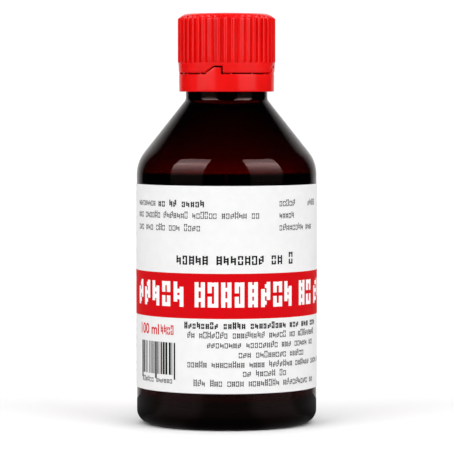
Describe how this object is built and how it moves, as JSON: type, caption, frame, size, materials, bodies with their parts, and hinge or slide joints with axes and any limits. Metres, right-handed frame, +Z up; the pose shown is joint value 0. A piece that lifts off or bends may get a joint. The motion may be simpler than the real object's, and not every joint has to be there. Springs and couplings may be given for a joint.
{
  "type": "medicine bottle",
  "caption": "Round-shouldered amber glass bottle with a ribbed red screw cap, tamper-evident ring, pouring insert and a wrap-round label.",
  "frame": {"origin": "centre of the base, on the surface that the bottle stands on", "axes": "+Z up along the bottle's axis, -Y out of the front of the label, +X to the right of someone reading the label"},
  "size_m": [0.0474, 0.0474, 0.1071],
  "materials": {
    "amber_glass": "gloss",
    "red_plastic": "satin",
    "natural_plastic": "satin, slightly translucent",
    "label_paper": "matt coated paper with a printed red band"
  },
  "bodies": {
    "bottle": {"glass_bottle": "amber_glass", "wrap_label": "label_paper", "pourer_insert": "natural_plastic"},
    "ring": {"tamper_ring": "red_plastic", "frangible_bridge_01": "red_plastic", "frangible_bridge_02": "red_plastic", "frangible_bridge_03": "red_plastic", "frangible_bridge_04": "red_plastic", "frangible_bridge_05": "red_plastic", "frangible_bridge_06": "red_plastic", "frangible_bridge_07": "red_plastic", "frangible_bridge_08": "red_plastic", "frangible_bridge_09": "red_plastic", "frangible_bridge_10": "red_plastic", "frangible_bridge_11": "red_plastic", "frangible_bridge_12": "red_plastic"},
    "cap": {"screw_cap": "red_plastic"}
  },
  "joints": [
    {"name": "cap_turn", "type": "hinge", "parent": "bottle", "child": "ring", "pos_m": [0, 0, 0.0915], "axis": [0, 0, 1], "range_deg": [0, 2160]},
    {"name": "cap_lift", "type": "slide", "parent": "ring", "child": "cap", "axis": [0, 0, 1], "range_m": [0, 0.0181]}
  ],
  "couplings": [
    {"joint": "cap_lift", "follows": "cap_turn", "m_per_rad": 0.00047746}
  ]
}
